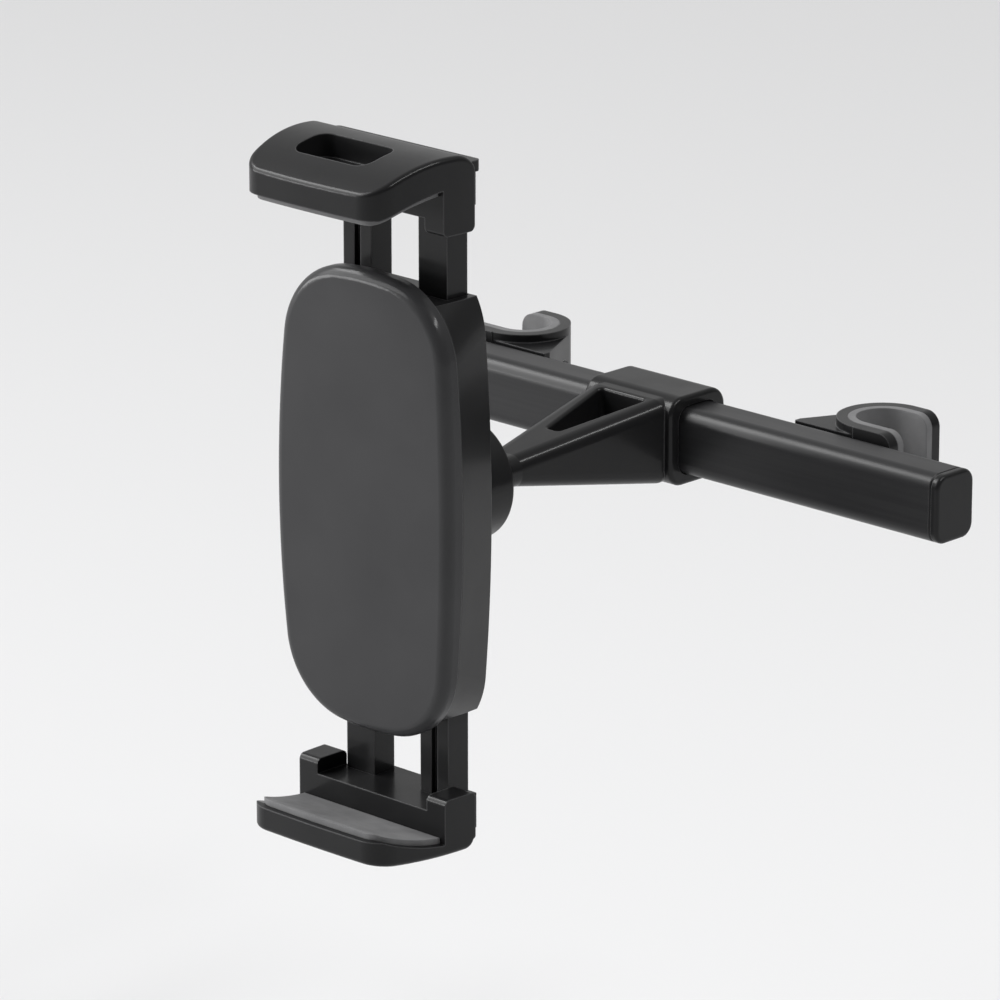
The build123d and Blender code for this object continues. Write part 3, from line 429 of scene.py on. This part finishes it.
# %% Ivory bearing plastic
ivory_plastic = moulded_plastic(
    "ivory_bearing_plastic",
    dark=(0.66, 0.64, 0.58),
    light=(0.72, 0.70, 0.65),
    # Pale edge tone: partly wear, partly painted highlight.
    worn_and_highlight=(0.78, 0.77, 0.72),
    rough=0.42,
    grain_scale=2200,
    grain_depth=0.00002,
    edge=0.0003,
)
ivory_shader = ivory_plastic.node_tree.nodes["Principled BSDF"]
ivory_shader.inputs["Subsurface Weight"].default_value = 0.15
ivory_shader.inputs["Subsurface Scale"].default_value = 0.001
print("made", ivory_plastic.name)

# %% [markdown]
# Screws and springs are zinc-plated steel, which is bright but cloudy, with fine lines from drawing
# and turning. A metal has no colour below its shine, so the clouds are in its tone and its gloss.

# %% Plated steel
def plated_steel(name, dull, bright):
    """Zinc-plated steel with cloudy gloss and fine lines."""
    finish, tree, shader = new_finish(name)
    normal = edge_normal(tree, radius=0.0002)
    cloud = between(tree, noise(tree, scale=700, detail=4), low=0, high=1)
    colour = mixed(tree, cloud, dull, bright)
    gloss = between(tree, noise(tree, scale=500, detail=3), low=0.22, high=0.38)
    lines = noise(tree, scale=4000, detail=2, stretch=(1, 0.1, 1))
    skin = grain_bump(tree, lines, strength=0.15, depth=0.00001, normal=normal)
    wire_up(tree, shader, colour, gloss, skin)
    shader.inputs["Metallic"].default_value = 1
    return finish


steel = plated_steel("plated_steel", dull=(0.52, 0.52, 0.54), bright=(0.68, 0.68, 0.69))
print("made", steel.name)

# %% [markdown]
# The record already says which stuff each CAD piece is made of, by its material slot. So the finishes
# are handed out by slot, and no piece can be forgotten.

# %% Give every CAD piece its finish
FINISH_OF_SLOT = {
    "bar_black": bar_black,
    "black_plastic": black_plastic,
    "grey_plastic": graphite_plastic,
    "pale_plastic": ivory_plastic,
    "grey_rubber": grey_rubber,
    "steel": steel,
}

for subpart in frame["record"]["subparts"]:
    piece = frame["nodes"][subpart["node"]]
    piece.data.materials.clear()
    piece.data.materials.append(FINISH_OF_SLOT[subpart["material_slot"]])

# %% [markdown]
# The mount is held together by small cross-recess screws, and the CAD model keeps them as plain pegs.
# They are modelled as by hand, so a few habits become helpers first: work on one piece alone, pick
# faces or points by where they are, and apply each modifier as soon as it is set.

# %% Helpers for modelling
MERGE_REACH = 1e-6


def only(piece):
    """Select one piece alone and make it active."""
    bpy.ops.object.select_all(action="DESELECT")
    piece.select_set(True)
    bpy.context.view_layer.objects.active = piece


def apply_place(piece):
    """Put a piece's place and turn into its mesh."""
    only(piece)
    bpy.ops.object.transform_apply(location=True, rotation=True, scale=True)


def apply_modifier(piece, kind, **settings):
    """Add a modifier, set it and apply it."""
    only(piece)
    modifier = piece.modifiers.new(kind.lower(), kind)
    for setting, value in settings.items():
        setattr(modifier, setting, value)
    bpy.ops.object.modifier_apply(modifier=modifier.name)


def choose(piece, elements, wanted):
    """In edit mode, select the polygons or vertices of a piece that pass a test."""
    bpy.ops.mesh.select_mode(type="FACE" if elements == "polygons" else "VERT")
    bpy.ops.mesh.select_all(action="DESELECT")
    bpy.ops.object.mode_set(mode="OBJECT")
    for element in getattr(piece.data, elements):
        element.select = wanted(element)
    bpy.ops.object.mode_set(mode="EDIT")


def joined(pieces, name):
    """Join pieces into one and merge the points where they meet."""
    only(pieces[0])
    for piece in pieces:
        piece.select_set(True)
    bpy.ops.object.join()
    whole = bpy.context.object
    whole.name = name
    bpy.ops.object.mode_set(mode="EDIT")
    bpy.ops.mesh.select_all(action="SELECT")
    bpy.ops.mesh.remove_doubles(threshold=MERGE_REACH)
    bpy.ops.object.mode_set(mode="OBJECT")
    return whole


# %% [markdown]
# A screw is two forms: a head with a recess for the driver, and a shank with a thread. The head starts
# as a cylinder. Its foot is drawn in for a countersunk screw, its rim is bevelled, and a cross is cut
# into the top, as the maker's punch does. The recess could be bump, but then the mesh would lack it.

# %% Head with a cross recess
HEAD_SIDES = 48
RIM_SEGMENTS = 4
RECESS_TAPER = 0.6
LEVEL = 0.5


def looks_up(face):
    """Whether a face looks up."""
    return face.normal.z > LEVEL


def looks_down(face):
    """Whether a face looks down."""
    return face.normal.z < -LEVEL


def screw_head(radius, height, foot_radius, rim):
    """Head with its top at z = 0 and a bevelled rim."""
    bpy.ops.object.select_all(action="DESELECT")
    bpy.ops.mesh.primitive_cylinder_add(
        vertices=HEAD_SIDES, radius=radius, depth=height, location=(0, 0, -height / 2)
    )
    head = bpy.context.object
    apply_place(head)
    bpy.ops.object.mode_set(mode="EDIT")
    choose(head, "polygons", looks_down)
    bpy.ops.transform.resize(value=(foot_radius / radius, foot_radius / radius, 1))
    choose(head, "polygons", looks_up)
    bpy.ops.mesh.bevel(offset=rim, segments=RIM_SEGMENTS)
    bpy.ops.object.mode_set(mode="OBJECT")
    return head


def cut_cross(head, span, slot_width, depth):
    """Cut a cross with sloping flanks into the top of a head."""
    bpy.ops.object.select_all(action="DESELECT")
    bpy.ops.mesh.primitive_cube_add(size=slot_width)
    punch = bpy.context.object
    bpy.ops.object.mode_set(mode="EDIT")
    bpy.ops.transform.resize(value=(1, 1, 2 * depth / slot_width))
    choose(punch, "polygons", lambda face: not looks_up(face) and not looks_down(face))
    arm_length = (span - slot_width) / 2
    bpy.ops.mesh.extrude_faces_move(TRANSFORM_OT_shrink_fatten={"value": arm_length})
    choose(punch, "polygons", looks_down)
    bpy.ops.transform.resize(value=(RECESS_TAPER, RECESS_TAPER, 1))
    bpy.ops.object.mode_set(mode="OBJECT")
    apply_modifier(head, "BOOLEAN", operation="DIFFERENCE", object=punch)
    bpy.data.objects.remove(punch)


print("heads have", HEAD_SIDES, "sides")

# %% [markdown]
# The thread could be a stack of rings, but a V-shaped edge wound by a Screw modifier is a true helix.
# It is wound at least a turn too far at both ends and cut off flat, so that it can be joined to the
# head. The thread is sized by the shank's radius, and the recess by the head's radius and height.

# %% Thread and whole screw
QUARTER_TURN = math.pi / 2
THREAD_PITCH = 0.55
THREAD_DEPTH = 0.28
THREAD_STEPS = 24
INNER_CORNER = -0.5
SHANK_START = 0.7
CROSS_SPAN = 1.2
CROSS_WIDTH = 0.34
CROSS_DEPTH = 0.55
SCREW_SMOOTHING = math.radians(35)


def flat_ends(piece, low, high):
    """Cut a piece off flat at two heights and close the cuts."""
    only(piece)
    bpy.ops.object.mode_set(mode="EDIT")
    for height, end in ((low, "clear_inner"), (high, "clear_outer")):
        bpy.ops.mesh.select_all(action="SELECT")
        bpy.ops.mesh.bisect(
            plane_co=(0, 0, height), plane_no=(0, 0, 1), use_fill=True, **{end: True}
        )
    bpy.ops.mesh.select_all(action="SELECT")
    bpy.ops.mesh.normals_make_consistent(inside=False)
    bpy.ops.object.mode_set(mode="OBJECT")


def v_edge(radius, depth, pitch, height):
    """A V that points outwards: a square on its corner, without its inner corner."""
    bpy.ops.object.select_all(action="DESELECT")
    bpy.ops.mesh.primitive_plane_add(size=math.sqrt(2), rotation=(QUARTER_TURN, 0, 0))
    edge = bpy.context.object
    apply_place(edge)
    bpy.ops.object.mode_set(mode="EDIT")
    bpy.ops.transform.rotate(value=QUARTER_TURN / 2, orient_axis="Y", center_override=(0, 0, 0))
    choose(edge, "vertices", lambda point: point.co.x < INNER_CORNER)
    bpy.ops.mesh.delete(type="VERT")
    bpy.ops.mesh.select_all(action="SELECT")
    bpy.ops.transform.resize(value=(depth, 1, pitch / 2), center_override=(0, 0, 0))
    bpy.ops.transform.translate(value=(radius - depth, 0, height))
    bpy.ops.object.mode_set(mode="OBJECT")
    return edge


def threaded_shank(radius, low, high):
    """Thread wound from a V between two heights."""
    pitch = THREAD_PITCH * radius
    turns = math.ceil((high - low) / pitch) + 2
    thread = v_edge(radius, THREAD_DEPTH * radius, pitch, low - pitch)
    apply_modifier(
        thread, "SCREW", angle=math.tau, iterations=turns, screw_offset=pitch,
        steps=THREAD_STEPS, render_steps=THREAD_STEPS,
        use_merge_vertices=True, merge_threshold=MERGE_REACH,
    )
    thread = joined([thread], "thread")
    flat_ends(thread, low, high)
    return thread


def cross_screw(radius, height, foot_radius, rim, shank_radius, length):
    """Whole screw along Y, the middle of its head's top at the origin."""
    head = screw_head(radius, height, foot_radius, rim)
    thread = threaded_shank(shank_radius, -length, -SHANK_START * height)
    apply_modifier(head, "BOOLEAN", operation="UNION", object=thread)
    bpy.data.objects.remove(thread)
    cut_cross(head, CROSS_SPAN * radius, CROSS_WIDTH * radius, CROSS_DEPTH * height)
    head.rotation_euler.x = -QUARTER_TURN
    apply_place(head)
    bpy.ops.object.shade_smooth_by_angle(angle=SCREW_SMOOTHING)
    return head


print("threads have", THREAD_STEPS, "steps a turn")

# %% [markdown]
# Each kind of screw is modelled once and copied to where the CAD model has it. The box of the CAD node
# gives the places: its corners, drawn in by the head's radius.

# %% Screws in their places
SHELL_SIZES = dict(radius=0.0018, height=0.0022, foot_radius=0.0018, rim=0.0007, shank_radius=0.0011)
RAIL_SIZES = dict(radius=0.0018, height=0.0007, foot_radius=0.0018, rim=0.0002, shank_radius=0.0011)
HOOK_SIZES = dict(radius=0.0025, height=0.0018, foot_radius=0.0025, rim=0.0006, shank_radius=0.0015)
STOP_SIZES = dict(radius=0.0025, height=0.0018, foot_radius=0.0015, rim=0.0001, shank_radius=0.0015)
PLACE_DIGITS = 5


def screw_places(node, radius):
    """Middle of each head's top, from the box of the screws' CAD node."""
    low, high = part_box(node)
    columns = sorted({round(x, PLACE_DIGITS) for x in (low.x + radius, high.x - radius)})
    rows = sorted({round(z, PLACE_DIGITS) for z in (low.z + radius, high.z - radius)})
    return [(x, high.y, z) for x in columns for z in rows]


def set_screws(node, body, sizes):
    """Replace a node's screws by detailed ones that ride on a body."""
    low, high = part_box(node)
    model = cross_screw(**sizes, length=high.y - low.y)
    copies = []
    for place in screw_places(node, sizes["radius"]):
        only(model)
        bpy.ops.object.duplicate(linked=False)
        copy = bpy.context.object
        copy.location = place
        apply_place(copy)
        copies.append(copy)
    bpy.data.objects.remove(model)
    screws = joined(copies, "cross_recess_" + node)
    screws.data.materials.append(steel)
    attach(screws, body)
    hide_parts(node)
    print(screws.name, len(copies), "of", len(screws.data.polygons) // len(copies), "faces")


set_screws("shell_screws", "cradle", SHELL_SIZES)
set_screws("upper_rail_screws", "upper_slide", RAIL_SIZES)
set_screws("lower_rail_screws", "lower_slide", RAIL_SIZES)
set_screws("hook_screw_right", "right_hook", HOOK_SIZES)
set_screws("hook_screw_left", "left_hook", HOOK_SIZES)
set_screws("stop_screw", "bar", STOP_SIZES)

# %% [markdown]
# Springs sit inside the bar and the cradle. A helix could be a curve with a round bevel, but a ring of
# the wire's section wound by a Screw modifier gives one clean tube. Each spring joins two bodies.

# %% Helpers for springs
WIRE_SIDES = 10
COIL_STEPS = 28
SPRING_SMOOTHING = math.radians(50)


def wound_wire(middle_radius, wire, start, pitch, turns):
    """Coil about Z, wound from one ring of the wire's section."""
    bpy.ops.object.select_all(action="DESELECT")
    bpy.ops.mesh.primitive_circle_add(
        vertices=WIRE_SIDES, radius=wire / 2,
        location=(middle_radius, 0, start), rotation=(QUARTER_TURN, 0, 0),
    )
    coil = bpy.context.object
    apply_place(coil)
    apply_modifier(
        coil, "SCREW", angle=math.tau, iterations=turns, screw_offset=pitch,
        steps=COIL_STEPS, render_steps=COIL_STEPS,
    )
    return coil


def close_holes(piece):
    """Close the open ends of a wire, with every face turned outwards."""
    only(piece)
    bpy.ops.object.mode_set(mode="EDIT")
    bpy.ops.mesh.select_all(action="SELECT")
    bpy.ops.mesh.fill_holes(sides=0)
    bpy.ops.mesh.select_all(action="SELECT")
    bpy.ops.mesh.normals_make_consistent(inside=False)
    bpy.ops.object.mode_set(mode="OBJECT")


def dress_spring(spring, node, fixed, moving, fixed_end, moving_end):
    """Finish a spring: smooth shading, steel, a baked place, and its CAD stand-in hidden."""
    only(spring)
    bpy.ops.object.shade_smooth_by_angle(angle=SPRING_SMOOTHING)
    spring.data.materials.append(steel)
    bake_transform(spring)
    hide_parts(node)
    print(spring.name, len(spring.data.polygons), "faces")


print("wires have", WIRE_SIDES, "sides and", COIL_STEPS, "steps a turn")

# %% [markdown]
# The bar's springs push the hooks outwards. The last turn at each end lies closed and is ground flat.
# Three windings in a row, tight, open and tight, meet at the same angle, so merging their points makes
# one wire. Pressing the end points flat leaves what a grinding wheel leaves.

# %% Push springs of the hooks
PUSH_WIRE = 0.001
PUSH_TURNS = 8
CLOSED_PITCH = 1.05 * PUSH_WIRE


def grind_end(piece, height, beyond):
    """Press the points beyond a height flat."""
    bpy.ops.object.mode_set(mode="EDIT")
    choose(piece, "vertices", beyond)
    bpy.ops.transform.resize(value=(1, 1, 0), center_override=(0, 0, height))
    bpy.ops.object.mode_set(mode="OBJECT")


def push_spring(name, length, radius):
    """Compression spring from z = 0 upwards, with closed and ground ends."""
    open_pitch = (length - 2 * CLOSED_PITCH) / PUSH_TURNS
    middle = radius - PUSH_WIRE / 2
    windings = [
        wound_wire(middle, PUSH_WIRE, 0, CLOSED_PITCH, 1),
        wound_wire(middle, PUSH_WIRE, CLOSED_PITCH, open_pitch, PUSH_TURNS),
        wound_wire(middle, PUSH_WIRE, length - CLOSED_PITCH, CLOSED_PITCH, 1),
    ]
    spring = joined(windings, name)
    close_holes(spring)
    grind_end(spring, 0, lambda point: point.co.z < 0)
    grind_end(spring, length, lambda point: point.co.z > length)
    return spring


def hook_spring(side, turn):
    """Spring between the bar's stop and one hook's shoe."""
    node = "hook_spring_" + side
    low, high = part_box(node)
    middle = (low + high) / 2
    spring = push_spring("wound_" + node, high.x - low.x, (high.z - low.z) / 2)
    stop_x, shoe_x = (low.x, high.x) if side == "right" else (high.x, low.x)
    spring.rotation_euler.y = turn
    spring.location = (stop_x, middle.y, middle.z)
    apply_place(spring)
    ends = [(x, middle.y, middle.z) for x in (stop_x, shoe_x)]
    dress_spring(spring, node, "bar", side + "_hook", *ends)


hook_spring("right", QUARTER_TURN)
hook_spring("left", -QUARTER_TURN)

# %% [markdown]
# The cradle's springs pull. They are wound with many turns and end in an eye round a peg. Each eye is
# most of a ring, wound about Y, and the edge loops of coil and eye are bridged with a smooth bend, as
# the wire bends on the real one. At rest the jaws are part open, so the turns already stand apart.

# %% Pull springs of the jaws
PULL_WIRE = 0.0006
PULL_TURNS = 52
EYE_RADIUS = 0.0022
EYE_TURN = math.radians(300)
GAP_SIDE = 0.6 * EYE_RADIUS
BEND_CUTS = 5


def spring_eye(height, way):
    """Most of a ring of wire in the XZ plane, open towards the coil."""
    bpy.ops.object.select_all(action="DESELECT")
    bpy.ops.mesh.primitive_circle_add(
        vertices=WIRE_SIDES, radius=PULL_WIRE / 2, location=(EYE_RADIUS - PULL_WIRE / 2, 0, 0)
    )
    eye = bpy.context.object
    apply_place(eye)
    apply_modifier(
        eye, "SCREW", axis="Y", angle=way * EYE_TURN, steps=COIL_STEPS, render_steps=COIL_STEPS
    )
    eye.location.z = height
    apply_place(eye)
    return eye


def bridge_to_eye(piece, coil_end, eye):
    """Bridge the open end of the coil to the start of an eye with a smooth bend."""
    def at_the_gap(point):
        on_eye = abs(point.co.z - eye) < MERGE_REACH
        on_coil = abs(point.co.y) < MERGE_REACH and abs(point.co.z - coil_end) < PULL_WIRE
        return point.co.x > GAP_SIDE and (on_eye or on_coil)

    choose(piece, "vertices", at_the_gap)
    bpy.ops.mesh.bridge_edge_loops(number_cuts=BEND_CUTS, interpolation="PATH", smoothness=1.0)


def pull_spring(node, body, fixed_low):
    """Tension spring with an eye at each end, along Z."""
    low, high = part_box(node)
    middle = (low + high) / 2
    eyes = (low.z + EYE_RADIUS - middle.z, high.z - EYE_RADIUS - middle.z)
    reach = EYE_RADIUS - PULL_WIRE / 2
    coil_low, coil_high = eyes[0] + reach, eyes[1] - reach
    coil_radius = (high.x - low.x) / 2 - PULL_WIRE / 2
    pitch = (coil_high - coil_low) / PULL_TURNS
    coil = wound_wire(coil_radius, PULL_WIRE, coil_low, pitch, PULL_TURNS)
    spring = joined([coil, spring_eye(eyes[0], 1), spring_eye(eyes[1], -1)], "wound_" + node)
    bpy.ops.object.mode_set(mode="EDIT")
    bridge_to_eye(spring, coil_low, eyes[0])
    bridge_to_eye(spring, coil_high, eyes[1])
    bpy.ops.object.mode_set(mode="OBJECT")
    close_holes(spring)
    spring.location = middle
    apply_place(spring)
    ends = [(middle.x, middle.y, middle.z + z) for z in (coil_low, coil_high)]
    fixed_end, moving_end = ends if fixed_low else reversed(ends)
    dress_spring(spring, node, "cradle", body, fixed_end, moving_end)


pull_spring("upper_spring", "upper_slide", fixed_low=True)
pull_spring("lower_spring", "lower_slide", fixed_low=False)
